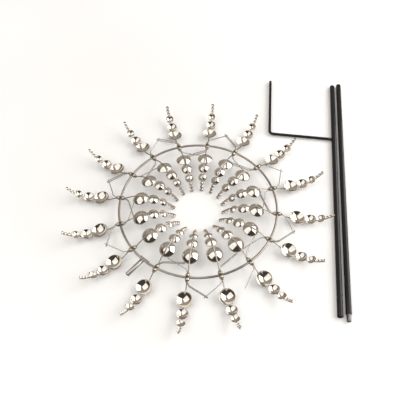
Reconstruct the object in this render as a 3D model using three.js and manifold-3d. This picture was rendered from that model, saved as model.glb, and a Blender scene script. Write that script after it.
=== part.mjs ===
// Wind spinner kit laid out flat: a 200 mm ring that carries sixteen turning
// spindle units, each with an outer and an inner arm of six cups, and the
// two-section ground stake that the ring's stem plugs into.
// Millimetres, +Z up, origin at the middle of the footprint on the ground.
import * as THREE from 'three';
import { mergeVertices } from 'three/addons/utils/BufferGeometryUtils.js';
import Module from 'manifold-3d';

const wasm = await Module();
wasm.setup();

// ---------------------------------------------------------------- dimensions
const RING_R = 100;            // centreline radius of the ring
const RING_WIRE_R = 1.4;       // ring wire, 2.8 mm thick
const UNITS = 16;              // spindle units round the ring
const STEM_GAP = 11;           // the stem stands between this unit and the next
const TURNED_OVER = [9, 10, 11]; // these lie half a turn round from the rest
const PITCH = (2 * Math.PI) / UNITS;
const FIRST_ANGLE = THREE.MathUtils.degToRad(112.5);
const HEAD_X = -9.69;          // ring centre in the kit's frame
const HEAD_Y = -40.94;
const HUB_Z = 11.96;           // ring centreline above the ground
const REST_TILT = THREE.MathUtils.degToRad(0.5); // + lifts the outer arm

const HUB_HALF = 4.7;          // barrel half length along the arm line
const HUB_BEAD_R = 2.7;        // the two beads of the barrel
const HUB_WAIST_R = 2.5;
const HUB_BORE_R = 1.9;        // turns freely on the ring wire

const COLLET_X0 = 5.0;         // soldered collet beyond the barrel's end
const COLLET_X1 = 6.7;
const COLLET_R = 1.7;

const ARM_WIRE_R = 0.68;       // circumradius of the arm wire's section
const ARM_X0 = 5.6;            // where the arm wire leaves the collet
const ARM_BEND_R = 44;         // the arm is a plain arc
const ARM_START = THREE.MathUtils.degToRad(-40);
const CUP_S = [21.6, 40.6, 54.9, 63.0, 67.8, 72.5]; // along the arc
const CUP_R = [9.8, 7.0, 5.45, 2.45, 2.45, 2.45];    // rim radius
const CUP_H = [6.0, 4.3, 3.4, 1.75, 1.75, 1.75];      // depth: each cup is a shallow dome
const CUP_WALL = [0.8, 0.8, 0.8];
const CUP_SIT = 0.12;          // each cup's bottom is soldered on the hollow side of the arc

const LINK_WIRE_R = 0.58;      // circumradius of the link wire's section
const LINK_BEND = [10.5, 3.0]; // where the link wire turns sideways
const LINK_ANGLE = THREE.MathUtils.degToRad(26.5);
const HAIRPIN_LEN = 26.0;      // straight run of the double wire
const HAIRPIN_HALF = 1.6;      // half the spacing of its two legs
const SINGLE_LEN = 26.4;       // straight run of the single wire

const STEM_ANGLE = THREE.MathUtils.degToRad(-123.75);
const STEM_R = 2.6;
const STEM_BORE_R = 1.6;
const STEM_IN = 101.75;        // root face, just outside the ring wire
const STEM_OUT = 126.2;
const STEM_BORE_DEPTH = 16;

const POLE_R = 3.5;            // 7 mm stake tube
const POLE_BORE_R = 3.06;
const LOWER_X = 176.8;         // lower section, from the ring centre
const LOWER_Y0 = -124.0;       // its open mouth
const LOWER_Y1 = 250.7;        // its rounded ground end
const CRIMP_Y = -100.0;        // crimp line that holds the stop plug
const UPPER_X = 186.4;         // upper section
const UPPER_Y0 = -119.8;
const UPPER_Y1 = 252.4;
const SPIGOT_R = 2.6;
const SPIGOT_OUT = 8.7;        // what stands out of the upper section
const SPIGOT_IN = 22;          // what sits inside it

const PRONG_R = 2.0;           // 4 mm round bar
const PRONG_Y = 140.9;         // step bar's line
const PRONG_CORNER_X = 85.2;
const PRONG_TIP = [81.6, 249.6];
const PRONG_BEND_R = 6.0;

// ------------------------------------------------------------------ helpers
function toSolid(geometry) {
  let g = geometry.clone();
  g.deleteAttribute('normal');
  g.deleteAttribute('uv');
  g = mergeVertices(g, 1e-4);
  const pos = g.attributes.position;
  const src = g.index.array;
  const tri = [];
  for (let i = 0; i < src.length; i += 3) {
    const [a, b, c] = [src[i], src[i + 1], src[i + 2]];
    if (a !== b && b !== c && c !== a) tri.push(a, b, c);
  }
  const make = (t) => new wasm.Manifold(new wasm.Mesh({
    numProp: 3,
    vertProperties: new Float32Array(pos.array),
    triVerts: new Uint32Array(t),
  }));
  let solid = make(tri);
  if (solid.volume() < 0) {
    for (let i = 0; i < tri.length; i += 3) [tri[i + 1], tri[i + 2]] = [tri[i + 2], tri[i + 1]];
    solid = make(tri);
  }
  return solid;
}

function toGeometry(solid) {
  const mesh = solid.getMesh();
  const g = new THREE.BufferGeometry();
  g.setAttribute('position', new THREE.BufferAttribute(new Float32Array(mesh.vertProperties), 3));
  g.setIndex(new THREE.BufferAttribute(new Uint32Array(mesh.triVerts), 1));
  g.computeVertexNormals();
  return g;
}

const join = (solids) => solids.reduce((a, b) => a.add(b));

// A path through given points whose steps land exactly on them.
class Route extends THREE.Curve {
  constructor(points) {
    super();
    this.points = points;
  }
  getPoint(t, target = new THREE.Vector3()) {
    const n = this.points.length - 1;
    const u = Math.min(Math.max(t, 0), 1) * n;
    const i = Math.min(Math.floor(u), n - 1);
    return target.copy(this.points[i]).lerp(this.points[i + 1], u - i);
  }
  getPointAt(t, target) {
    return this.getPoint(t, target);
  }
  getSpacedPoints(divisions) {
    const out = [];
    for (let i = 0; i <= divisions; i++) out.push(this.getPoint(i / divisions));
    return out;
  }
  getTangent(t, target = new THREE.Vector3()) {
    const n = this.points.length - 1;
    const k = Math.round(Math.min(Math.max(t, 0), 1) * n);
    const a = this.points[Math.max(k - 1, 0)];
    const b = this.points[Math.min(k + 1, n)];
    return target.copy(b).sub(a).normalize();
  }
  getTangentAt(t, target) {
    return this.getTangent(t, target);
  }
}

function polygon(radius, sides, turn = 0) {
  const shape = new THREE.Shape();
  for (let i = 0; i < sides; i++) {
    const a = turn + (2 * Math.PI * i) / sides;
    const [x, y] = [radius * Math.cos(a), radius * Math.sin(a)];
    if (i === 0) shape.moveTo(x, y);
    else shape.lineTo(x, y);
  }
  shape.closePath();
  return shape;
}

function wire(points, radius, sides) {
  return new THREE.ExtrudeGeometry(polygon(radius, sides, -Math.PI / 2), {
    steps: points.length - 1,
    extrudePath: new Route(points),
    bevelEnabled: false,
    curveSegments: 1,
  });
}

// A turned piece about +Y from [radius, height] pairs.
function turned(profile, sides, phase = 0) {
  return new THREE.LatheGeometry(profile.map(([r, y]) => new THREE.Vector2(r, y)), sides, phase);
}

function material(color, roughness, metalness) {
  return new THREE.MeshStandardMaterial({ color, roughness, metalness });
}

const steel = material(0xc9c7c2, 0.08, 1.0);
const ringSteel = material(0x9a948d, 0.3, 1.0);
const brass = material(0xa8905c, 0.3, 1.0);
const brushed = material(0xa9a9a6, 0.4, 1.0);
const black = material(0x0b0b0d, 0.2, 0.1);
const zinc = material(0x8f9092, 0.4, 1.0);

function named(name, geometry, mat) {
  const mesh = new THREE.Mesh(geometry, mat);
  mesh.name = name;
  return mesh;
}

// ------------------------------------------------------------ spindle units
// Unit frame: x points away from the ring's centre, y along the ring (the
// turning axis), z up.
function armPoint(s) {
  const a = ARM_START + s / ARM_BEND_R;
  return {
    x: ARM_X0 + ARM_BEND_R * (Math.sin(a) - Math.sin(ARM_START)),
    z: ARM_BEND_R * (Math.cos(ARM_START) - Math.cos(a)),
    slope: a,
  };
}

function cupSolid(i) {
  const [r, h] = [CUP_R[i], CUP_H[i]];
  const ball = (r * r + h * h) / (2 * h); // radius of the sphere the dome is cut from
  const drop = ball - h;
  const edge = Math.asin(r / ball);
  const at = (rad, part) => [rad * Math.sin(edge * part), rad * Math.cos(edge * part) - drop];
  let profile;
  let sides;
  let phase;
  if (i < 3) {
    const q = ball - CUP_WALL[i];
    const mouth = Math.sqrt(q * q - drop * drop);
    profile = [[0, h], at(ball, 0.56), [r, 0], [mouth, 0], at(q, 0.5), [0, h - CUP_WALL[i]]];
    if (i === 2) profile.splice(4, 1);
    sides = i === 0 ? 8 : 6;
    phase = Math.PI / 2 + Math.PI / sides;
  } else {
    profile = [[0, h], at(ball, 0.6), [r, 0], [0, 0]];
    sides = i === 5 ? 6 : 4;
    phase = i === 5 ? Math.PI / 2 : Math.PI / 2 + Math.PI / sides;
  }
  const { x, z, slope } = armPoint(CUP_S[i]);
  const m = new THREE.Matrix4().makeBasis(
    new THREE.Vector3(Math.cos(slope), 0, Math.sin(slope)),
    new THREE.Vector3(Math.sin(slope), 0, -Math.cos(slope)),
    new THREE.Vector3(0, 1, 0),
  ).setPosition(x - (CUP_SIT + h) * Math.sin(slope), 0, z + (CUP_SIT + h) * Math.cos(slope));
  return toSolid(turned(profile, sides, phase).applyMatrix4(m));
}

function armWire() {
  const points = [];
  const end = CUP_S[5] + 1.2;
  const steps = 8;
  for (let i = 0; i <= steps; i++) {
    const { x, z } = armPoint((end * i) / steps);
    points.push(new THREE.Vector3(x, 0, z));
  }
  return toSolid(wire(points, ARM_WIRE_R, 3));
}

function collet() {
  const g = turned([[0, COLLET_X0], [COLLET_R, COLLET_X0], [COLLET_R * 0.8, COLLET_X1], [0, COLLET_X1]], 5);
  g.rotateZ(-Math.PI / 2);
  return toSolid(g);
}

// Centreline of a link wire at height z, towards +y for side 1.
function linkRun(length, side, z) {
  const [bx, by] = LINK_BEND;
  const dx = Math.sin(LINK_ANGLE);
  const dy = Math.cos(LINK_ANGLE);
  return [
    new THREE.Vector3(5.7, 0.25 * side, z * 0.45),
    new THREE.Vector3(bx, side * by, z),
    new THREE.Vector3(bx + length * dx, side * (by + length * dy), z),
  ];
}

function hairpin() {
  const h = HAIRPIN_HALF;
  const up = linkRun(HAIRPIN_LEN - h, 1, h);
  const down = linkRun(HAIRPIN_LEN - h, 1, -h).reverse();
  const tipDir = new THREE.Vector3(Math.sin(LINK_ANGLE), Math.cos(LINK_ANGLE), 0);
  const turn = [];
  for (const deg of [55, 125]) {
    const a = THREE.MathUtils.degToRad(deg);
    const mid = up[2].clone().setZ(0);
    turn.push(mid.addScaledVector(tipDir, h * Math.sin(a)).setZ(h * Math.cos(a)));
  }
  return toSolid(wire([...up, ...turn, ...down], LINK_WIRE_R, 3));
}

function singleWire() {
  return toSolid(wire(linkRun(SINGLE_LEN, -1, 0), LINK_WIRE_R, 3));
}

const cups = CUP_R.map((_, i) => cupSolid(i));
const bareArm = join([collet(), armWire(), ...cups]);
const armWithHairpin = toGeometry(bareArm.add(hairpin()));
const armWithSingle = toGeometry(bareArm.add(singleWire()));
const armAlone = toGeometry(bareArm);

function hubGeometry() {
  const p = [
    [0, -HUB_HALF], [1.7, -HUB_HALF], [HUB_BEAD_R, -HUB_HALF + 1.3], [HUB_WAIST_R, 0],
    [HUB_BEAD_R, HUB_HALF - 1.3], [1.7, HUB_HALF], [0, HUB_HALF],
  ];
  const barrel = turned(p, 6, Math.PI / 6);
  barrel.rotateZ(-Math.PI / 2);
  const bore = new THREE.CylinderGeometry(HUB_BORE_R, HUB_BORE_R, 9, 6, 1, false, Math.PI / 6);
  return toGeometry(toSolid(barrel).subtract(toSolid(bore)));
}
const hub = hubGeometry();

const kit = new THREE.Group();
const head = new THREE.Group();
head.position.set(HEAD_X, HEAD_Y, HUB_Z);
kit.add(head);

for (let k = 0; k < UNITS; k++) {
  const id = String(k + 1).padStart(2, '0');
  const angle = FIRST_ANGLE - k * PITCH;
  const place = new THREE.Group();
  place.position.set(RING_R * Math.cos(angle), RING_R * Math.sin(angle), 0);
  place.rotation.z = angle;
  const tilt = new THREE.Group();
  tilt.rotation.y = -REST_TILT;
  place.add(tilt);
  const odd = ((k + 1) % 2 === 1) !== TURNED_OVER.includes(k + 1);
  tilt.add(named(`hub_${id}`, hub, brass));
  // Neighbours are linked all round except across the stem; the link between
  // units 8 and 9 lies unhooked, each wire on its own side of the ring.
  const hairpinArm = k + 1 === STEM_GAP + 1 ? armAlone : armWithHairpin;
  const singleArm = k + 1 === STEM_GAP ? armAlone : armWithSingle;
  tilt.add(named(`outer_arm_${id}`, odd ? hairpinArm : singleArm, steel));
  const inner = named(`inner_arm_${id}`, odd ? singleArm : hairpinArm, steel);
  inner.rotation.y = Math.PI;
  tilt.add(inner);
  head.add(place);
}

// ------------------------------------------------------------ ring and stem
head.add(named('ring', toGeometry(toSolid(new THREE.TorusGeometry(RING_R, RING_WIRE_R, 6, 48))), ringSteel));

const stemGeometry = turned([
  [0, STEM_IN], [STEM_R, STEM_IN], [STEM_R, STEM_OUT - 0.4], [STEM_R - 0.4, STEM_OUT],
  [STEM_BORE_R, STEM_OUT], [STEM_BORE_R, STEM_OUT - STEM_BORE_DEPTH], [0, STEM_OUT - STEM_BORE_DEPTH],
], 12);
stemGeometry.rotateZ(STEM_ANGLE - Math.PI / 2);
head.add(named('stem', toGeometry(toSolid(stemGeometry)), brushed));

// ------------------------------------------------------------------- stake
// Pole profiles run along +Y; a corner of the twelve-sided section points down.
const poleZ = POLE_R;
const POLE_PHASE = 0;

const lowerProfile = [
  [POLE_BORE_R, LOWER_Y0], [POLE_R - 0.15, LOWER_Y0], [POLE_R, LOWER_Y0 + 0.4],
  [POLE_R, CRIMP_Y - 0.5], [POLE_R - 0.2, CRIMP_Y], [POLE_R, CRIMP_Y + 0.5],
  [POLE_R, LOWER_Y1 - 3.2], [POLE_R * 0.86, LOWER_Y1 - 1.3], [POLE_R * 0.45, LOWER_Y1 - 0.2], [0, LOWER_Y1],
  [0, LOWER_Y1 - 4.5], [POLE_BORE_R, LOWER_Y1 - 4.5], [POLE_BORE_R, LOWER_Y0],
];
const lower = turned(lowerProfile, 12, POLE_PHASE);
lower.translate(LOWER_X, 0, 0);
const stake = new THREE.Group();
stake.position.set(HEAD_X, HEAD_Y, poleZ);
kit.add(stake);
stake.add(named('lower_pole', toGeometry(toSolid(lower)), black));

const plug = turned([
  [0, CRIMP_Y - 2], [POLE_BORE_R - 0.35, CRIMP_Y - 2], [POLE_BORE_R - 0.35, CRIMP_Y + 4], [0, CRIMP_Y + 4],
], 12, POLE_PHASE);
plug.translate(LOWER_X, 0, 0);
stake.add(named('stop_plug', toGeometry(toSolid(plug)), zinc));

const upperProfile = [
  [POLE_BORE_R, UPPER_Y0], [POLE_R - 0.15, UPPER_Y0], [POLE_R, UPPER_Y0 + 0.4],
  [POLE_R, UPPER_Y1 - 1.6], [POLE_R - 0.1, UPPER_Y1],
  [POLE_BORE_R, UPPER_Y1], [POLE_BORE_R, UPPER_Y0],
];
const upper = turned(upperProfile, 12, POLE_PHASE);
upper.translate(UPPER_X, 0, 0);
stake.add(named('upper_pole', toGeometry(toSolid(upper)), black));

const spigot = turned([
  [0, UPPER_Y0 - SPIGOT_OUT], [SPIGOT_R - 0.7, UPPER_Y0 - SPIGOT_OUT], [SPIGOT_R, UPPER_Y0 - SPIGOT_OUT + 0.9],
  [SPIGOT_R, UPPER_Y0 + SPIGOT_IN], [0, UPPER_Y0 + SPIGOT_IN],
], 12, POLE_PHASE);
spigot.translate(UPPER_X, 0, 0);
stake.add(named('pole_spigot', toGeometry(toSolid(spigot)), zinc));

// Step prong: a bar welded to the lower section, bent to run beside it.
const prongPoints = [];
const barStart = LOWER_X - POLE_R - 0.3;
const legDir = new THREE.Vector2(PRONG_TIP[0] - PRONG_CORNER_X, PRONG_TIP[1] - PRONG_Y).normalize();
prongPoints.push(new THREE.Vector3(barStart, PRONG_Y, 0));
const bendStart = new THREE.Vector2(PRONG_CORNER_X + PRONG_BEND_R, PRONG_Y);
const bendEnd = new THREE.Vector2(PRONG_CORNER_X, PRONG_Y).addScaledVector(legDir, PRONG_BEND_R);
const corner = new THREE.Vector2(PRONG_CORNER_X, PRONG_Y);
for (const t of [0, 0.25, 0.5, 0.75, 1]) {
  const a = bendStart.clone().lerp(corner, t);
  const b = corner.clone().lerp(bendEnd, t);
  const p = a.lerp(b, t);
  prongPoints.push(new THREE.Vector3(p.x, p.y, 0));
}
prongPoints.push(new THREE.Vector3(PRONG_TIP[0], PRONG_TIP[1], 0));
stake.add(named('step_prong', toGeometry(toSolid(wire(prongPoints, PRONG_R, 8))), black));

export default kit;
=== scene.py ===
import math

import bmesh
import bpy
from mathutils import Matrix, Vector, noise


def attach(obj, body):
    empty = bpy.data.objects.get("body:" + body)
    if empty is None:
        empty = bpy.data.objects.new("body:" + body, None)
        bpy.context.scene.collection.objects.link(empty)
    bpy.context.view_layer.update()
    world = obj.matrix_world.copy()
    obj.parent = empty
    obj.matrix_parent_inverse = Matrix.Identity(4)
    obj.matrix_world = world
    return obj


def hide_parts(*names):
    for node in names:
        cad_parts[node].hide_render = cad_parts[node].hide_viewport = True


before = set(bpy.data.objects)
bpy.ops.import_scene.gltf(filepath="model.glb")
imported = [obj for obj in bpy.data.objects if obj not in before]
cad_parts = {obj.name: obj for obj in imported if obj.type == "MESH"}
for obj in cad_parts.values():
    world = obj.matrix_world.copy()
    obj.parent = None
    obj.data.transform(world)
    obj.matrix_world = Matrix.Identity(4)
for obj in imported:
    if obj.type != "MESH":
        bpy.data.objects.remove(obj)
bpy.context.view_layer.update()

MM = 0.001
rad = math.radians

RING_R, RING_WIRE = 100.0, 1.4
UNITS = 16
STEM_GAP = 11
TURNED_OVER = (9, 10, 11)
FIRST_ANGLE = 112.5
HEAD = Vector((-9.69, -40.94, 11.96))
REST_TILT = rad(0.5)
ARM_X0, ARM_BEND_R, ARM_START = 5.6, 44.0, rad(-40)
CUP_S = [21.6, 40.6, 54.9, 63.0, 67.8, 72.5]
CUP_R = [9.8, 7.0, 5.45, 2.3, 2.3, 2.3]
CUP_H = [5.3, 3.8, 3.0, 1.5, 1.5, 1.5]
CUP_WALL = [0.3, 0.3, 0.28, 0.24, 0.24, 0.24]
CUP_SIT = 0.5
ARM_WIRE, LINK_WIRE = 0.66, 0.55
LINK_BEND = (10.5, 3.0)
LINK_ANGLE = rad(26.5)
HAIRPIN_LEN, HAIRPIN_HALF, SINGLE_LEN = 26.0, 1.6, 26.4
HUB_HALF, HUB_BEAD, HUB_WAIST, HUB_BORE = 4.7, 2.7, 2.35, 1.75
STEM_ANGLE = rad(-123.75)
STEM_R, STEM_BORE, STEM_IN, STEM_OUT, STEM_DEEP = 2.6, 1.6, 101.75, 126.2, 16.0
POLE_R, POLE_BORE, POLE_Z = 3.5, 3.06, 3.5
LOWER_X, LOWER_Y0, LOWER_Y1, CRIMP_Y = 176.8, -124.0, 250.7, -100.0
UPPER_X, UPPER_Y0, UPPER_Y1 = 186.4, -119.8, 252.4
SPIGOT_R, SPIGOT_OUT, SPIGOT_IN = 2.6, 8.7, 22.0
PRONG_R, PRONG_Y, PRONG_CX, PRONG_BEND = 2.0, 140.9, 85.2, 6.0
PRONG_TIP = (81.6, 249.6)


# ------------------------------------------------------------------- materials
class Nodes:
    def __init__(self, name):
        self.mat = bpy.data.materials.new(name)
        self.mat.use_nodes = True
        self.t = self.mat.node_tree
        self.t.nodes.clear()
        self.out = self.add("ShaderNodeOutputMaterial")
        self.bsdf = self.add("ShaderNodeBsdfPrincipled")
        self.link(self.bsdf.outputs[0], self.out.inputs[0])
        self.obj = self.add("ShaderNodeTexCoord").outputs["Object"]

    def add(self, kind, **attrs):
        n = self.t.nodes.new(kind)
        for k, v in attrs.items():
            setattr(n, k, v)
        return n

    def link(self, a, b):
        self.t.links.new(a, b)

    def put(self, node, values):
        for k, v in values.items():
            s = node.inputs[k]
            if hasattr(v, "is_output"):
                self.link(v, s)
            else:
                s.default_value = v
        return node

    def scaled(self, sx, sy, sz):
        m = self.add("ShaderNodeMapping")
        self.link(self.obj, m.inputs["Vector"])
        m.inputs["Scale"].default_value = (sx, sy, sz)
        return m.outputs[0]

    def noise(self, scale, detail=3.0, rough=0.55, vector=None, distortion=0.0):
        n = self.add("ShaderNodeTexNoise")
        self.put(n, {"Vector": vector or self.obj, "Scale": scale, "Detail": detail, "Roughness": rough, "Distortion": distortion})
        return n.outputs["Fac"]

    def ramp(self, fac, stops):
        r = self.add("ShaderNodeValToRGB")
        self.link(fac, r.inputs[0])
        e = r.color_ramp.elements
        while len(e) < len(stops):
            e.new(0.5)
        for el, (p, c) in zip(e, stops):
            el.position = p
            el.color = (*c, 1) if len(c) == 3 else c
        return r.outputs[0]

    def range(self, fac, a, b, c, d):
        r = self.add("ShaderNodeMapRange")
        self.put(r, {"Value": fac, "From Min": a, "From Max": b, "To Min": c, "To Max": d})
        return r.outputs[0]

    def math(self, op, a, b=None):
        m = self.add("ShaderNodeMath", operation=op)
        for i, v in enumerate((a, b)):
            if v is None:
                continue
            if hasattr(v, "is_output"):
                self.link(v, m.inputs[i])
            else:
                m.inputs[i].default_value = v
        return m.outputs[0]

    def mix(self, fac, a, b):
        m = self.add("ShaderNodeMix", data_type="RGBA")
        for s, v in ((m.inputs[0], fac), (m.inputs[6], a), (m.inputs[7], b)):
            if hasattr(v, "is_output"):
                self.link(v, s)
            else:
                s.default_value = (*v, 1) if isinstance(v, tuple) else v
        return m.outputs[2]

    def bump(self, height, strength, distance, normal=None):
        b = self.add("ShaderNodeBump")
        self.put(b, {"Height": height, "Strength": strength, "Distance": distance})
        if normal is not None:
            self.link(normal, b.inputs["Normal"])
        return b.outputs[0]

    def axis(self, name):
        s = self.add("ShaderNodeSeparateXYZ")
        self.link(self.obj, s.inputs[0])
        return s.outputs[name]


def polished_steel():
    n = Nodes("polished_steel")
    smudge = n.noise(160, 4, 0.6)
    fine = n.noise(1400, 3, 0.6)
    colour = n.ramp(smudge, [(0.30, (0.64, 0.60, 0.55)), (0.55, (0.70, 0.66, 0.61)), (0.8, (0.74, 0.71, 0.67))])
    rough = n.math("ADD", n.range(smudge, 0.35, 0.75, 0.035, 0.085), n.range(fine, 0.4, 0.7, 0.0, 0.03))
    ripple = n.bump(n.noise(120, 2, 0.5), 0.25, 0.00035)
    grain = n.bump(fine, 0.10, 0.00003, ripple)
    n.put(n.bsdf, {"Base Color": colour, "Metallic": 1.0, "Roughness": rough, "Normal": grain})
    return n.mat


def wire_steel(name, dark, light, base_rough):
    n = Nodes(name)
    mottled = n.noise(420, 4, 0.6)
    fine = n.noise(2600, 2, 0.6)
    colour = n.ramp(mottled, [(0.3, dark), (0.7, light)])
    rough = n.range(fine, 0.3, 0.7, base_rough - 0.07, base_rough + 0.1)
    n.put(n.bsdf, {"Base Color": colour, "Metallic": 1.0, "Roughness": rough, "Normal": n.bump(fine, 0.2, 0.00005)})
    return n.mat


def solder():
    n = Nodes("solder")
    grain = n.noise(900, 5, 0.65)
    colour = n.ramp(grain, [(0.25, (0.22, 0.17, 0.12)), (0.6, (0.44, 0.38, 0.31)), (0.85, (0.56, 0.51, 0.44))])
    n.put(n.bsdf, {"Base Color": colour, "Metallic": 1.0, "Roughness": n.range(grain, 0.3, 0.8, 0.5, 0.28), "Normal": n.bump(grain, 0.5, 0.00025)})
    return n.mat


def hub_brass():
    n = Nodes("hub_brass")
    tarnish = n.noise(520, 5, 0.65)
    # painted light and shade: the barrel is lighter on its bead crests and darker at its waist, where the ring passes
    # through, and at its ends; random tarnish noise is mixed in
    x = n.math("ABSOLUTE", n.axis("X"))
    groove = n.math("ABSOLUTE", n.math("SUBTRACT", x, 0.0030))
    waist_and_end_shade = n.range(groove, 0.0006, 0.0022, 0.0, 1.0)
    tarnish_and_shade = n.math("MULTIPLY", n.math("ADD", n.math("MULTIPLY", waist_and_end_shade, 0.65), n.math("MULTIPLY", tarnish, 0.7)), 1.0)
    colour = n.ramp(tarnish_and_shade, [(0.22, (0.60, 0.56, 0.47)), (0.55, (0.40, 0.365, 0.295)), (0.95, (0.10, 0.085, 0.065))])
    turned = n.noise(1.0, 2, 0.5, n.scaled(9000, 300, 300))
    rough = n.range(tarnish_and_shade, 0.2, 0.9, 0.24, 0.5)
    b = n.bump(turned, 0.25, 0.00006)
    b = n.bump(tarnish, 0.2, 0.0001, b)
    n.put(n.bsdf, {"Base Color": colour, "Metallic": 1.0, "Roughness": rough, "Normal": b})
    return n.mat


def ring_steel():
    n = Nodes("ring_steel")
    patch = n.noise(38, 4, 0.6)
    streak = n.noise(900, 3, 0.6)
    base = n.ramp(patch, [(0.30, (0.28, 0.245, 0.235)), (0.5, (0.39, 0.35, 0.335)), (0.72, (0.52, 0.485, 0.465))])
    colour = n.mix(n.range(streak, 0.35, 0.75, 0.0, 0.35), base, (0.24, 0.20, 0.18))
    rough = n.range(streak, 0.3, 0.7, 0.24, 0.42)
    n.put(n.bsdf, {"Base Color": colour, "Metallic": 1.0, "Roughness": rough, "Normal": n.bump(streak, 0.25, 0.00008)})
    return n.mat


def stem_steel():
    n = Nodes("stem_steel")
    # the piece's own X runs along the stem
    brush = n.noise(1.0, 4, 0.7, n.scaled(60, 3800, 3800))
    x = n.axis("X")
    heat = n.range(x, 0.0035, 0.0, 0.0, 1.0)
    cloudy = n.noise(420, 4, 0.6)
    heat = n.math("MULTIPLY", heat, n.range(cloudy, 0.2, 0.7, 0.6, 1.2))
    steel = n.ramp(brush, [(0.3, (0.40, 0.395, 0.385)), (0.7, (0.58, 0.575, 0.56))])
    colour = n.mix(heat, steel, (0.16, 0.12, 0.10))
    rough = n.range(brush, 0.3, 0.7, 0.26, 0.42)
    n.put(n.bsdf, {"Base Color": colour, "Metallic": 1.0, "Roughness": rough, "Normal": n.bump(brush, 0.25, 0.00006)})
    n.bsdf.inputs["Anisotropic"].default_value = 0.35
    return n.mat


def black_gloss():
    n = Nodes("black_gloss")
    peel = n.noise(620, 2, 0.5)
    dust = n.noise(5200, 2, 0.5)
    scuff = n.noise(1.0, 4, 0.65, n.scaled(1500, 40, 1500))
    base = n.ramp(dust, [(0.0, (0.010, 0.0098, 0.011)), (0.66, (0.013, 0.0125, 0.0138)), (0.74, (0.045, 0.043, 0.042))])
    colour = n.mix(n.range(scuff, 0.62, 0.8, 0.0, 0.5), base, (0.06, 0.056, 0.055))
    rough = n.math("ADD", n.range(peel, 0.3, 0.7, 0.08, 0.14), n.range(scuff, 0.55, 0.8, 0.0, 0.22))
    n.put(n.bsdf, {"Base Color": colour, "Metallic": 0.0, "Roughness": rough, "Normal": n.bump(peel, 0.18, 0.00008)})
    n.bsdf.inputs["Specular IOR Level"].default_value = 0.25
    n.bsdf.inputs["Coat Weight"].default_value = 0.15
    n.bsdf.inputs["Coat Roughness"].default_value = 0.08
    return n.mat


def zinc():
    n = Nodes("spigot_steel")
    turned = n.noise(1.0, 3, 0.6, n.scaled(400, 4200, 400))
    spangle = n.noise(700, 4, 0.6)
    colour = n.mix(n.range(turned, 0.35, 0.7, 0.0, 0.6), n.ramp(spangle, [(0.3, (0.15, 0.145, 0.14)), (0.7, (0.29, 0.285, 0.28))]), (0.10, 0.096, 0.092))
    n.put(n.bsdf, {"Base Color": colour, "Metallic": 1.0, "Roughness": n.range(spangle, 0.3, 0.7, 0.3, 0.48), "Normal": n.bump(turned, 0.3, 0.00006)})
    return n.mat


def painted_shade_bore():
    # painted shade: the inside of each tube is coloured near black to stand for the shade in the bore
    n = Nodes("tube_bore_painted_shade")
    grain = n.noise(900, 4, 0.6)
    colour = n.ramp(grain, [(0.3, (0.03, 0.028, 0.026)), (0.7, (0.11, 0.10, 0.095))])
    n.put(n.bsdf, {"Base Color": colour, "Metallic": 0.6, "Roughness": n.range(grain, 0.3, 0.7, 0.45, 0.65), "Normal": n.bump(grain, 0.3, 0.0001)})
    return n.mat


STEEL = polished_steel()
ARM = wire_steel("arm_wire", (0.34, 0.305, 0.275), (0.56, 0.52, 0.48), 0.2)
LINK = wire_steel("link_wire", (0.36, 0.34, 0.33), (0.58, 0.56, 0.54), 0.28)
SOLDER = solder()
BRASS = hub_brass()
RING = ring_steel()
STEM = stem_steel()
BLACK = black_gloss()
ZINC = zinc()
BORE_SHADE = painted_shade_bore()


# -------------------------------------------------------------- mesh building
def sweep(bm, pts, radius, sides=12, mat=0, caps=True, taper=None):
    """A round wire along points (mm), with rounded ends."""
    pts = [Vector(p) for p in pts]
    n = len(pts)
    tangents = []
    for i in range(n):
        a, b = pts[max(i - 1, 0)], pts[min(i + 1, n - 1)]
        tangents.append((b - a).normalized())
    up = Vector((0, 0, 1)) if abs(tangents[0].z) < 0.9 else Vector((1, 0, 0))
    side = tangents[0].cross(up).normalized()
    rings = []

    def ring(centre, t, s, r):
        w = t.cross(s).normalized()
        return [bm.verts.new((centre + s * (r * math.cos(2 * math.pi * k / sides)) + w * (r * math.sin(2 * math.pi * k / sides))) * MM) for k in range(sides)]

    def r_at(i):
        return radius if taper is None else radius * taper(i / (n - 1))

    start_cap = end_cap = None
    for i in range(n):
        t = tangents[i]
        side = (side - t * side.dot(t)).normalized()
        if i == 0 and caps:
            r = r_at(0)
            start_cap = bm.verts.new((pts[0] - t * r * 0.6) * MM)
            rings.append(ring(pts[0] - t * r * 0.52, t, side, r * 0.45))
            rings.append(ring(pts[0] - t * r * 0.30, t, side, r * 0.82))
        rings.append(ring(pts[i], t, side, r_at(i)))
        if i == n - 1 and caps:
            r = r_at(n - 1)
            rings.append(ring(pts[i] + t * r * 0.30, t, side, r * 0.82))
            rings.append(ring(pts[i] + t * r * 0.52, t, side, r * 0.45))
            end_cap = bm.verts.new((pts[i] + t * r * 0.6) * MM)
    faces = []
    for a, b in zip(rings, rings[1:]):
        for k in range(sides):
            k2 = (k + 1) % sides
            faces.append(bm.faces.new((a[k], a[k2], b[k2], b[k])))
    if caps:
        for k in range(sides):
            k2 = (k + 1) % sides
            faces.append(bm.faces.new((start_cap, rings[0][k2], rings[0][k])))
            faces.append(bm.faces.new((end_cap, rings[-1][k], rings[-1][k2])))
    else:
        faces.append(bm.faces.new(list(reversed(rings[0]))))
        faces.append(bm.faces.new(rings[-1]))
    for f in faces:
        f.material_index = mat
        f.smooth = True
    return faces


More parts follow.
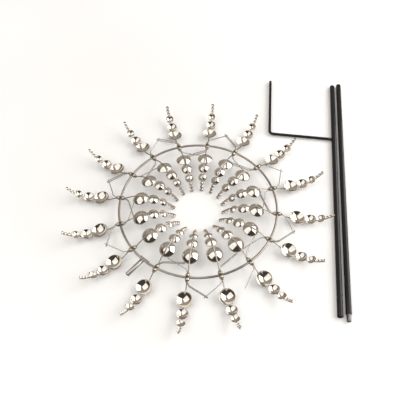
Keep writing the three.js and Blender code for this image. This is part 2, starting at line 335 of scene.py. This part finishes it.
def lathe(bm, profile, segs, matrix, mat=0, closed=False, flat=(), mats=None):
    """Turns [radius, height] (mm) about the local Z of matrix (mm)."""
    rows = []
    for r, h in profile:
        if r < 1e-6:
            rows.append([bm.verts.new(matrix @ Vector((0, 0, h)) * MM)])
        else:
            rows.append([bm.verts.new(matrix @ Vector((r * math.cos(2 * math.pi * k / segs), r * math.sin(2 * math.pi * k / segs), h)) * MM) for k in range(segs)])
    pairs = list(zip(rows, rows[1:]))
    if closed:
        pairs.append((rows[-1], rows[0]))
    for j, (a, b) in enumerate(pairs):
        for k in range(segs):
            k2 = (k + 1) % segs
            if len(a) == 1 and len(b) == 1:
                continue
            if len(a) == 1:
                f = bm.faces.new((a[0], b[k2], b[k]))
            elif len(b) == 1:
                f = bm.faces.new((a[k], a[k2], b[0]))
            else:
                f = bm.faces.new((a[k], a[k2], b[k2], b[k]))
            f.material_index = mats[j] if mats else mat
            f.smooth = j not in flat


def blob(bm, centre, radii, axes, mat, seed=0.0, segs=10, rings=6, rough=0.10):
    """A small lump of solder: an ellipsoid with an uneven skin."""
    c = Vector(centre)
    top = bottom = None
    rows = []
    for j in range(rings + 1):
        a = math.pi * j / rings
        row = []
        for k in range(segs if 0 < j < rings else 1):
            b = 2 * math.pi * k / segs
            d = Vector((math.sin(a) * math.cos(b), math.sin(a) * math.sin(b), math.cos(a)))
            wobble = 1.0 + rough * noise.noise(d * 1.7 + Vector((seed, seed * 0.7, 3.1)))
            v = axes[0] * (d.x * radii[0]) + axes[1] * (d.y * radii[1]) + axes[2] * (d.z * radii[2])
            row.append(bm.verts.new((c + v * wobble) * MM))
        rows.append(row)
    for a, b in zip(rows, rows[1:]):
        for k in range(segs):
            k2 = (k + 1) % segs
            if len(a) == 1:
                f = bm.faces.new((a[0], b[k], b[k2]))
            elif len(b) == 1:
                f = bm.faces.new((a[k], b[0], a[k2]))
            else:
                f = bm.faces.new((a[k], b[k], b[k2], a[k2]))
            f.material_index = mat
            f.smooth = True


def finish_mesh(name, bm, mats):
    bmesh.ops.recalc_face_normals(bm, faces=bm.faces)
    me = bpy.data.meshes.new(name)
    bm.to_mesh(me)
    bm.free()
    for m in mats:
        me.materials.append(m)
    return me


def piece(name, mesh, matrix, body, slot, *nodes):
    o = bpy.data.objects.new(name, mesh)
    bpy.context.scene.collection.objects.link(o)
    o.matrix_world = matrix
    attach(o, body)
    if nodes:
        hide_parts(*nodes)
    return o


def fillet(points, radius, steps=6):
    """Rounds the corners of a polyline."""
    pts = [Vector(p) for p in points]
    out = [pts[0]]
    for a, b, c in zip(pts, pts[1:], pts[2:]):
        d1, d2 = (a - b), (c - b)
        k = min(radius, d1.length * 0.48, d2.length * 0.48)
        p, q = b + d1.normalized() * k, b + d2.normalized() * k
        for i in range(steps + 1):
            t = i / steps
            out.append(p * (1 - t) ** 2 + b * (2 * t * (1 - t)) + q * t ** 2)
    out.append(pts[-1])
    return out


def refine(points, step):
    out = [Vector(points[0])]
    for a, b in zip(points, points[1:]):
        a, b = Vector(a), Vector(b)
        n = max(1, round((b - a).length / step))
        for i in range(1, n + 1):
            out.append(a.lerp(b, i / n))
    return out


# -------------------------------------------------------------------- the arms
def arm_point(s):
    a = ARM_START + s / ARM_BEND_R
    return Vector((
        ARM_X0 + ARM_BEND_R * (math.sin(a) - math.sin(ARM_START)),
        0,
        ARM_BEND_R * (math.cos(ARM_START) - math.cos(a)),
    )), a


def cup(bm, i, seed):
    R, w = CUP_R[i], CUP_WALL[i]
    segs, rows = ((40, 13), (32, 11), (28, 9), (18, 6), (18, 6), (18, 6))[i]
    p, a = arm_point(CUP_S[i])
    along = Vector((math.cos(a), 0, math.sin(a)))
    out = Vector((-math.sin(a), 0, math.cos(a)))
    h = CUP_H[i]
    c = p + out * (CUP_SIT + h)
    m = Matrix((
        (along.x, 0, -out.x, c.x),
        (along.y, -1, -out.y, c.y),
        (along.z, 0, -out.z, c.z),
        (0, 0, 0, 1),
    ))
    # a dished cap, a little flatter towards its rim than a ball, with a thin rolled lip
    Ri, hi = R - 1.3 * w, h - w
    profile = [(R * k / rows, h * (1 - (k / rows) ** 2)) for k in range(rows + 1)]
    profile += [((R + Ri) / 2 + (R - Ri) / 2 * math.cos(t), -(R - Ri) * 0.35 * math.sin(t)) for t in (rad(35), rad(90), rad(145))]
    profile += [(Ri * k / rows, hi * (1 - (k / rows) ** 2)) for k in range(rows, -1, -1)]
    lathe(bm, profile, segs, m, mat=0)
    # solder where the bottom of the cup sits on the wire
    size = ((2.6, 0.95, 0.42), (2.2, 0.9, 0.40), (1.9, 0.85, 0.38), (1.0, 0.7, 0.34), (1.0, 0.7, 0.34), (1.0, 0.7, 0.34))[i]
    blob(bm, p + out * 0.22, size, (along, Vector((0, 1, 0)), out), 2, seed + i * 1.3, segs=12, rings=6)


def link_run(length, side, z):
    bx, by = LINK_BEND
    dx, dy = math.sin(LINK_ANGLE), math.cos(LINK_ANGLE)
    return [
        Vector((5.7, 0.25 * side, z * 0.45)),
        Vector((bx, side * by, z)),
        Vector((bx + length * dx, side * (by + length * dy), z)),
    ]


def arm_mesh(name, link):
    bm = bmesh.new()
    for i in range(6):
        cup(bm, i, 0.37)
    end = CUP_S[5] + 0.3
    sweep(bm, [arm_point(end * k / 44)[0] for k in range(45)], ARM_WIRE, 12, mat=1)
    # collet: a drop of solder and a short sleeve where the wires leave the hub
    turn = Matrix.Rotation(rad(90), 4, "Y")
    lathe(bm, [(0, 5.0), (1.35, 5.0), (1.62, 5.12), (1.7, 5.4), (1.62, 5.75), (1.3, 6.15), (0.95, 6.5), (0.7, 6.68), (0, 6.7)], 24, turn, mat=2)
    if link == "hairpin":
        h = HAIRPIN_HALF
        up = fillet(link_run(HAIRPIN_LEN - h, 1, h), 1.3)
        down = fillet(link_run(HAIRPIN_LEN - h, 1, -h), 1.3)
        d = Vector((math.sin(LINK_ANGLE), math.cos(LINK_ANGLE), 0))
        mid = up[-1].copy()
        mid.z = 0
        bend = [mid + d * (h * math.sin(math.pi * k / 10)) + Vector((0, 0, h * math.cos(math.pi * k / 10))) for k in range(1, 10)]
        sweep(bm, refine(up, 2.0) + bend + list(reversed(refine(down, 2.0))), LINK_WIRE, 10, mat=3)
    elif link == "single":
        run = fillet(link_run(SINGLE_LEN, -1, 0), 1.3)
        sweep(bm, refine(run, 2.0), LINK_WIRE, 10, mat=3)
    return finish_mesh(name, bm, [STEEL, ARM, SOLDER, LINK])


ARM_HAIRPIN = arm_mesh("arm_with_hairpin", "hairpin")
ARM_SINGLE = arm_mesh("arm_with_single", "single")
ARM_ALONE = arm_mesh("arm_alone", None)


# --------------------------------------------------------------------- the hub
def hub_mesh():
    bm = bmesh.new()
    L, B, W = HUB_HALF, HUB_BEAD, HUB_WAIST
    prof = [(0, -L), (1.25, -L), (1.55, -L + 0.12)]
    # two round beads with a turned waist between them
    half = []
    for k in range(0, 13):
        t = k / 12
        x = L - 0.25 - t * (L - 0.95)
        r = 1.62 + (B - 1.62) * math.sin(math.pi * min(1.0, t * 1.02) ** 0.72 * 0.80) ** 0.6
        half.append((x, min(r, B)))
    beads = [(r, x) for x, r in half]
    waist = [(W, 0.62), (W - 0.05, 0.3), (W - 0.05, 0.0)]
    upper = [(0, L), (1.25, L), (1.55, L - 0.12)] + beads + waist
    prof = [(r, -h) for r, h in upper] + [(r, h) for r, h in reversed(upper[:-1])]
    lathe(bm, prof, 32, Matrix.Rotation(rad(90), 4, "Y"), mat=0)
    bmesh.ops.recalc_face_normals(bm, faces=bm.faces)
    me = bpy.data.meshes.new("hub_barrel")
    bm.to_mesh(me)
    bm.free()
    me.materials.append(BRASS)
    barrel = bpy.data.objects.new("hub_tmp", me)
    bpy.context.scene.collection.objects.link(barrel)
    cb = bmesh.new()
    lathe(cb, [(0, -4), (HUB_BORE, -4), (HUB_BORE, 4), (0, 4)], 28, Matrix.Rotation(rad(90), 4, "X"), mat=0)
    bmesh.ops.recalc_face_normals(cb, faces=cb.faces)
    cm = bpy.data.meshes.new("hub_cutter")
    cb.to_mesh(cm)
    cb.free()
    cutter = bpy.data.objects.new("hub_cutter", cm)
    bpy.context.scene.collection.objects.link(cutter)
    mod = barrel.modifiers.new("bore", "BOOLEAN")
    mod.operation, mod.solver, mod.object = "DIFFERENCE", "EXACT", cutter
    bpy.context.view_layer.update()
    dg = bpy.context.evaluated_depsgraph_get()
    result = bpy.data.meshes.new_from_object(barrel.evaluated_get(dg))
    result.name = "hub"
    bpy.data.objects.remove(barrel)
    bpy.data.objects.remove(cutter)
    bm = bmesh.new()
    bm.from_mesh(result)
    bmesh.ops.remove_doubles(bm, verts=bm.verts, dist=1e-6)
    for f in bm.faces:
        f.smooth = True
    for e in bm.edges:
        if len(e.link_faces) == 2 and e.calc_face_angle(0) > rad(38):
            e.smooth = False
    bm.to_mesh(result)
    bm.free()
    if not result.materials:
        result.materials.append(BRASS)
    return result


HUB = hub_mesh()

for k in range(UNITS):
    num = f"{k + 1:02d}"
    body = f"unit_{num}"
    angle = rad(FIRST_ANGLE - 22.5 * k)
    pivot = HEAD + Vector((RING_R * math.cos(angle), RING_R * math.sin(angle), 0))
    place = Matrix.Translation(pivot * MM) @ Matrix.Rotation(angle, 4, "Z") @ Matrix.Rotation(-REST_TILT, 4, "Y")
    flip = place @ Matrix.Rotation(math.pi, 4, "Y")
    odd = ((k + 1) % 2 == 1) != (k + 1 in TURNED_OVER)
    hair = ARM_ALONE if k + 1 == STEM_GAP + 1 else ARM_HAIRPIN
    single = ARM_ALONE if k + 1 == STEM_GAP else ARM_SINGLE
    piece(f"hub_barrel_{num}", HUB, place, body, "hub_brass", f"hub_{num}")
    piece(f"outer_cups_{num}", hair if odd else single, place, body, "polished_steel", f"outer_arm_{num}")
    piece(f"inner_cups_{num}", single if odd else hair, flip, body, "polished_steel", f"inner_arm_{num}")

# ------------------------------------------------------------ ring and the stem
bm = bmesh.new()
segs, sides = 240, 16
rows = []
for i in range(segs):
    a = 2 * math.pi * i / segs
    c = Vector((math.cos(a), math.sin(a), 0))
    rows.append([bm.verts.new((c * (RING_R + RING_WIRE * 0.985 * math.cos(2 * math.pi * j / sides)) + Vector((0, 0, RING_WIRE * 0.985 * math.sin(2 * math.pi * j / sides)))) * MM) for j in range(sides)])
for i in range(segs):
    a, b = rows[i], rows[(i + 1) % segs]
    for j in range(sides):
        j2 = (j + 1) % sides
        f = bm.faces.new((a[j], b[j], b[j2], a[j2]))
        f.smooth = True
# butt weld and the stub of wire beside it, next to the stem
wa = rad(-118.6)
for k, da in enumerate((-0.012, 0.0, 0.012)):
    a = wa + da
    d = Vector((math.cos(a), math.sin(a), 0))
    blob(bm, d * RING_R, (1.62, 1.5, 1.62), (d, Vector((-d.y, d.x, 0)), Vector((0, 0, 1))), 1, 4.0 + k, rough=0.14)
stub = []
for k in range(9):
    a = rad(-126.6 + k * 0.95)
    stub.append(Vector((math.cos(a) * (RING_R - 2.05), math.sin(a) * (RING_R - 2.05), 0.35)))
sweep(bm, stub, 0.62, 10, mat=0)
for a in (rad(-126.2), rad(-119.4)):
    d = Vector((math.cos(a), math.sin(a), 0))
    blob(bm, d * (RING_R - 1.6) + Vector((0, 0, 0.2)), (1.1, 1.2, 0.9), (d, Vector((-d.y, d.x, 0)), Vector((0, 0, 1))), 1, 9.0 + a)
piece("ring_hoop", finish_mesh("ring_hoop", bm, [RING, SOLDER]), Matrix.Translation(HEAD * MM), "spinner_frame", "ring_steel", "ring")

bm = bmesh.new()
turn = Matrix.Rotation(rad(90), 4, "Y")
L = STEM_OUT - STEM_IN
# the last two faces, the bore, take the near-black painted shade colour
lathe(bm, [(0, 0.05), (2.3, 0.05), (2.52, 0.15), (STEM_R, 0.5), (STEM_R, L - 0.45), (STEM_R - 0.12, L - 0.15), (STEM_R - 0.4, L), (STEM_BORE + 0.12, L), (STEM_BORE, L - 0.15), (STEM_BORE, L - STEM_DEEP), (0, L - STEM_DEEP)], 40, turn, flat=(), mats=[0, 0, 0, 0, 0, 0, 0, 0, 2, 2])
# weld fillet between stem and ring
for k in range(18):
    b = 2 * math.pi * k / 18
    blob(bm, (0.05 + 0.10 * math.sin(3 * b), 2.0 * math.cos(b), 2.0 * math.sin(b) * 0.82), (0.62, 0.72, 0.72), (Vector((1, 0, 0)), Vector((0, 1, 0)), Vector((0, 0, 1))), 1, k * 0.9, segs=8, rings=5, rough=0.2)
d = Vector((math.cos(STEM_ANGLE), math.sin(STEM_ANGLE), 0))
m = Matrix.Translation((HEAD + d * STEM_IN) * MM) @ Matrix.Rotation(STEM_ANGLE, 4, "Z")
piece("stem_tube", finish_mesh("stem_tube", bm, [STEM, SOLDER, BORE_SHADE]), m, "spinner_frame", "stem_steel", "stem")

# -------------------------------------------------------------------- the stake
stake = Vector((HEAD.x, HEAD.y, POLE_Z))
up_y = Matrix.Rotation(rad(-90), 4, "X")  # turns about +Y
R, B = POLE_R, POLE_BORE


def tube_mesh(name, profile, mats, segs=48):
    bm = bmesh.new()
    lathe(bm, profile, segs, up_y, mats=mats, closed=False)
    return finish_mesh(name, bm, [BLACK, BORE_SHADE, SOLDER])


def densify(profile, step=24.0):
    out = [profile[0]]
    for (r0, h0), (r1, h1) in zip(profile, profile[1:]):
        n = max(1, int(abs(h1 - h0) / step))
        out += [(r0 + (r1 - r0) * k / n, h0 + (h1 - h0) * k / n) for k in range(1, n + 1)]
    return out


crimp = [(R - 0.32 * math.exp(-((k - 6) / 2.2) ** 2), CRIMP_Y + (k - 6) * 0.28) for k in range(13)]
outer = [(B, LOWER_Y0 + 0.2), (B + 0.1, LOWER_Y0 + 0.03), (R - 0.22, LOWER_Y0 + 0.0), (R - 0.05, LOWER_Y0 + 0.15), (R, LOWER_Y0 + 0.45)]
dome = [(R * math.cos(rad(t)), LOWER_Y1 - 3.3 + 3.3 * math.sin(rad(t))) for t in range(0, 91, 10)]
dome[-1] = (0, LOWER_Y1)
# the inner faces take the near-black painted shade colour
inner = [(0, LOWER_Y1 - 4.5), (B, LOWER_Y1 - 4.8), (B, LOWER_Y0 + 0.2)]
prof = densify(outer + crimp + dome)
cut = len(prof)
prof += densify(inner)
mats = [0 if j < cut - 1 else 1 for j in range(len(prof) - 1)]
bm = bmesh.new()
lathe(bm, prof, 48, up_y, mats=mats)
bmesh.ops.remove_doubles(bm, verts=bm.verts, dist=1e-7)
piece("lower_tube", finish_mesh("lower_tube", bm, [BLACK, BORE_SHADE]), Matrix.Translation((stake + Vector((LOWER_X, 0, 0))) * MM), "lower_stake", "black_gloss", "lower_pole")

bm = bmesh.new()
lathe(bm, [(0, CRIMP_Y - 2), (2.35, CRIMP_Y - 2), (2.7, CRIMP_Y - 1.7), (2.7, CRIMP_Y - 0.4), (2.5, CRIMP_Y), (2.7, CRIMP_Y + 0.4), (2.7, CRIMP_Y + 3.7), (2.4, CRIMP_Y + 4), (0, CRIMP_Y + 4)], 36, up_y)
piece("stop_plug_turned", finish_mesh("stop_plug_turned", bm, [ZINC]), Matrix.Translation((stake + Vector((LOWER_X, 0, 0))) * MM), "lower_stake", "spigot_steel", "stop_plug")

outer = [(B, UPPER_Y0 + 0.2), (B + 0.1, UPPER_Y0 + 0.03), (R - 0.22, UPPER_Y0), (R - 0.05, UPPER_Y0 + 0.15), (R, UPPER_Y0 + 0.45)]
far = [(R, UPPER_Y1 - 1.2), (R - 0.06, UPPER_Y1 - 0.25), (R - 0.18, UPPER_Y1 - 0.03), (B + 0.1, UPPER_Y1), (B, UPPER_Y1 - 0.25)]
prof = densify(outer + far)
cut = len(prof)
# the inner faces take the near-black painted shade colour
prof += densify([(B, UPPER_Y1 - 0.25), (B, UPPER_Y0 + 0.2)])[1:]
mats = [0 if j < cut - 1 else 1 for j in range(len(prof) - 1)]
bm = bmesh.new()
lathe(bm, prof, 48, up_y, mats=mats)
bmesh.ops.remove_doubles(bm, verts=bm.verts, dist=1e-7)
piece("upper_tube", finish_mesh("upper_tube", bm, [BLACK, BORE_SHADE]), Matrix.Translation((stake + Vector((UPPER_X, 0, 0))) * MM), "upper_stake", "black_gloss", "upper_pole")

bm = bmesh.new()
s0, s1 = UPPER_Y0 - SPIGOT_OUT, UPPER_Y0 + SPIGOT_IN
lathe(bm, [(0, s0), (1.5, s0), (1.9, s0 + 0.08), (2.35, s0 + 0.5), (SPIGOT_R, s0 + 1.0), (SPIGOT_R, s0 + 5.0), (SPIGOT_R, UPPER_Y0 - 0.6), (SPIGOT_R, s1 - 0.3), (2.3, s1), (0, s1)], 40, up_y)
# a dark ring fills the gap at the tube's mouth: painted shade standing in for the dark gap between spigot and tube
lathe(bm, [(SPIGOT_R - 0.05, UPPER_Y0 - 0.12), (2.85, UPPER_Y0 + 0.05), (B - 0.04, UPPER_Y0 + 0.3), (B - 0.04, UPPER_Y0 + 1.5), (SPIGOT_R - 0.05, UPPER_Y0 + 1.5)], 40, up_y, mat=1, closed=True)
piece("spigot_rod", finish_mesh("spigot_rod", bm, [ZINC, BORE_SHADE]), Matrix.Translation((stake + Vector((UPPER_X, 0, 0))) * MM), "upper_stake", "spigot_steel", "pole_spigot")

# the step prong: a bar with one bend, rounded at its tip and welded to the tube
leg = (Vector((*PRONG_TIP, 0)) - Vector((PRONG_CX, PRONG_Y, 0))).normalized()
b0 = Vector((PRONG_CX + PRONG_BEND, PRONG_Y, 0))
b1 = Vector((PRONG_CX, PRONG_Y, 0)) + leg * PRONG_BEND
cn = Vector((PRONG_CX, PRONG_Y, 0))
path = [Vector((LOWER_X - POLE_R + 0.1, PRONG_Y, 0))]
path = refine([path[0], b0], 8.0)
for k in range(1, 17):
    t = k / 16
    path.append(b0 * (1 - t) ** 2 + cn * (2 * t * (1 - t)) + b1 * t ** 2)
tip = Vector((*PRONG_TIP, 0)) - leg * 1.25
path += refine([b1, tip], 8.0)[1:]
bm = bmesh.new()
sweep(bm, path, PRONG_R * 0.985, 20, mat=0)
for k in range(16):
    b = 2 * math.pi * k / 16
    blob(bm, (LOWER_X - POLE_R - 0.35 + 0.12 * math.cos(2 * b), PRONG_Y + 2.05 * math.cos(b), 1.75 * math.sin(b)), (0.75, 0.8, 0.8), (Vector((1, 0, 0)), Vector((0, 1, 0)), Vector((0, 0, 1))), 0, k * 1.1, segs=8, rings=5, rough=0.18)
piece("prong_bar", finish_mesh("prong_bar", bm, [BLACK]), Matrix.Translation(stake * MM), "lower_stake", "black_gloss", "step_prong")

# ---------------------------------------------------------------- floor, lights
FLOOR_GLOW = 0.06
SEEN_GLOW = 0.0
RIGHT, LEFT = 3.0, 1.3


def stage_floor():
    bm = bmesh.new()
    s = 6.0
    vs = [bm.verts.new((x, y, 0.0)) for x, y in ((-s, -s), (s, -s), (s, s), (-s, s))]
    bm.faces.new(vs)
    me = bpy.data.meshes.new("floor")
    bm.to_mesh(me)
    bm.free()
    o = bpy.data.objects.new("floor", me)
    bpy.context.scene.collection.objects.link(o)
    n = Nodes("floor_white")
    n.put(n.bsdf, {"Base Color": n.ramp(n.noise(6, 3, 0.5), [(0.3, (0.90, 0.898, 0.895)), (0.7, (0.925, 0.924, 0.922))]), "Roughness": 0.75})
    n.bsdf.inputs["Specular IOR Level"].default_value = 0.1
    n.bsdf.inputs["Emission Color"].default_value = (0.92, 0.965, 1.0, 1)
    away = n.add("ShaderNodeVectorMath", operation="LENGTH")
    n.link(n.obj, away.inputs[0])
    n.link(n.range(away.outputs["Value"], 0.20, 1.5, FLOOR_GLOW, 0.76), n.bsdf.inputs["Emission Strength"])
    # the steel sees a warmer, dimmer table than the one beside it
    seen = n.add("ShaderNodeBsdfPrincipled")
    n.put(seen, {"Base Color": (0.50, 0.45, 0.39, 1), "Roughness": 0.9, "Emission Color": (1.0, 0.90, 0.79, 1), "Emission Strength": SEEN_GLOW})
    seen.inputs["Specular IOR Level"].default_value = 0.0
    pick = n.add("ShaderNodeMixShader")
    path = n.add("ShaderNodeLightPath")
    n.link(path.outputs["Is Camera Ray"], pick.inputs[0])
    n.link(seen.outputs[0], pick.inputs[1])
    n.link(n.bsdf.outputs[0], pick.inputs[2])
    n.link(pick.outputs[0], n.out.inputs[0])
    me.materials.append(n.mat)
    return o


stage_floor()


def panel(name, centre, facing, width, height, radiance, colour=(1.0, 0.99, 0.975)):
    """A flat soft light at centre (metres), shining along facing."""
    light = bpy.data.lights.new(name, "AREA")
    light.shape = "RECTANGLE"
    light.size, light.size_y = width, height
    light.color = colour
    light.energy = radiance * math.pi * width * height
    o = bpy.data.objects.new(name, light)
    bpy.context.scene.collection.objects.link(o)
    o.location = Vector(centre)
    o.rotation_mode = "QUATERNION"
    o.rotation_quaternion = Vector(facing).to_track_quat("-Z", "Y")
    return o


# a low window on the right, a large soft box high on the left
panel("box_right", (1.0, 0.16, 0.60), (-0.845, -0.226, -0.485), 1.50, 1.26, RIGHT)
panel("box_left", (-0.47, -0.48, 1.05), (0.386, 0.304, -0.855), 1.50, 1.80, LEFT)

world = bpy.data.worlds.new("studio")
bpy.context.scene.world = world
world.use_nodes = True
wt = world.node_tree
wt.nodes.clear()
wo = wt.nodes.new("ShaderNodeOutputWorld")
bg = wt.nodes.new("ShaderNodeBackground")
wt.links.new(bg.outputs[0], wo.inputs[0])
tc = wt.nodes.new("ShaderNodeTexCoord")
sep = wt.nodes.new("ShaderNodeSeparateXYZ")
wt.links.new(tc.outputs["Generated"], sep.inputs[0])
# dark and low towards the near side, warm grey overhead and beyond the far side
skew = wt.nodes.new("ShaderNodeMath")
skew.operation = "MULTIPLY_ADD"
wt.links.new(sep.outputs["Z"], skew.inputs[0])
skew.inputs[1].default_value = 0.6
wt.links.new(sep.outputs["Y"], skew.inputs[2])
mr = wt.nodes.new("ShaderNodeMapRange")
wt.links.new(skew.outputs[0], mr.inputs["Value"])
mr.inputs["From Min"].default_value, mr.inputs["From Max"].default_value = -0.6, 1.1
ramp = wt.nodes.new("ShaderNodeValToRGB")
wt.links.new(mr.outputs[0], ramp.inputs[0])
e = ramp.color_ramp.elements
e[0].position, e[0].color = 0.34, (0.075, 0.065, 0.056, 1)
e[1].position, e[1].color = 1.0, (0.46, 0.42, 0.37, 1)
mid = e.new(0.50)
mid.color = (0.20, 0.18, 0.155, 1)
mid = e.new(0.68)
mid.color = (0.40, 0.365, 0.32, 1)
lp = wt.nodes.new("ShaderNodeLightPath")
mixc = wt.nodes.new("ShaderNodeMix")
mixc.data_type = "RGBA"
wt.links.new(lp.outputs["Is Camera Ray"], mixc.inputs[0])
wt.links.new(ramp.outputs[0], mixc.inputs[6])
mixc.inputs[7].default_value = (0.9, 0.895, 0.89, 1)
wt.links.new(mixc.outputs[2], bg.inputs["Color"])
bg.inputs["Strength"].default_value = 1.0

# ------------------------------------------------------------------- the camera
E, ROLL, TURN = 0.9934, 0.0155, rad(5.84)
C = Vector((12.443, -336.93, 512.51))
d = Vector((0, math.cos(E), -math.sin(E)))
r = Vector((1, 0, 0))
u = Vector((0, math.sin(E), math.cos(E)))
r2 = r * math.cos(ROLL) + u * math.sin(ROLL)
u2 = -r * math.sin(ROLL) + u * math.cos(ROLL)
spin = Matrix.Rotation(TURN, 3, "Z")
C, d, r2, u2 = spin @ C, spin @ d, spin @ r2, spin @ u2
cam = bpy.data.cameras.new("camera")
cam.sensor_width = 36.0
cam.lens = 482.61 / 416 * 36
cam.clip_start, cam.clip_end = 0.02, 50
co = bpy.data.objects.new("camera", cam)
bpy.context.scene.collection.objects.link(co)
m = Matrix((
    (r2.x, u2.x, -d.x, 0),
    (r2.y, u2.y, -d.y, 0),
    (r2.z, u2.z, -d.z, 0),
    (0, 0, 0, 1),
))
m.translation = (HEAD + C) * MM
co.matrix_world = m
bpy.context.scene.camera = co
bpy.context.scene.view_settings.view_transform = "Standard"
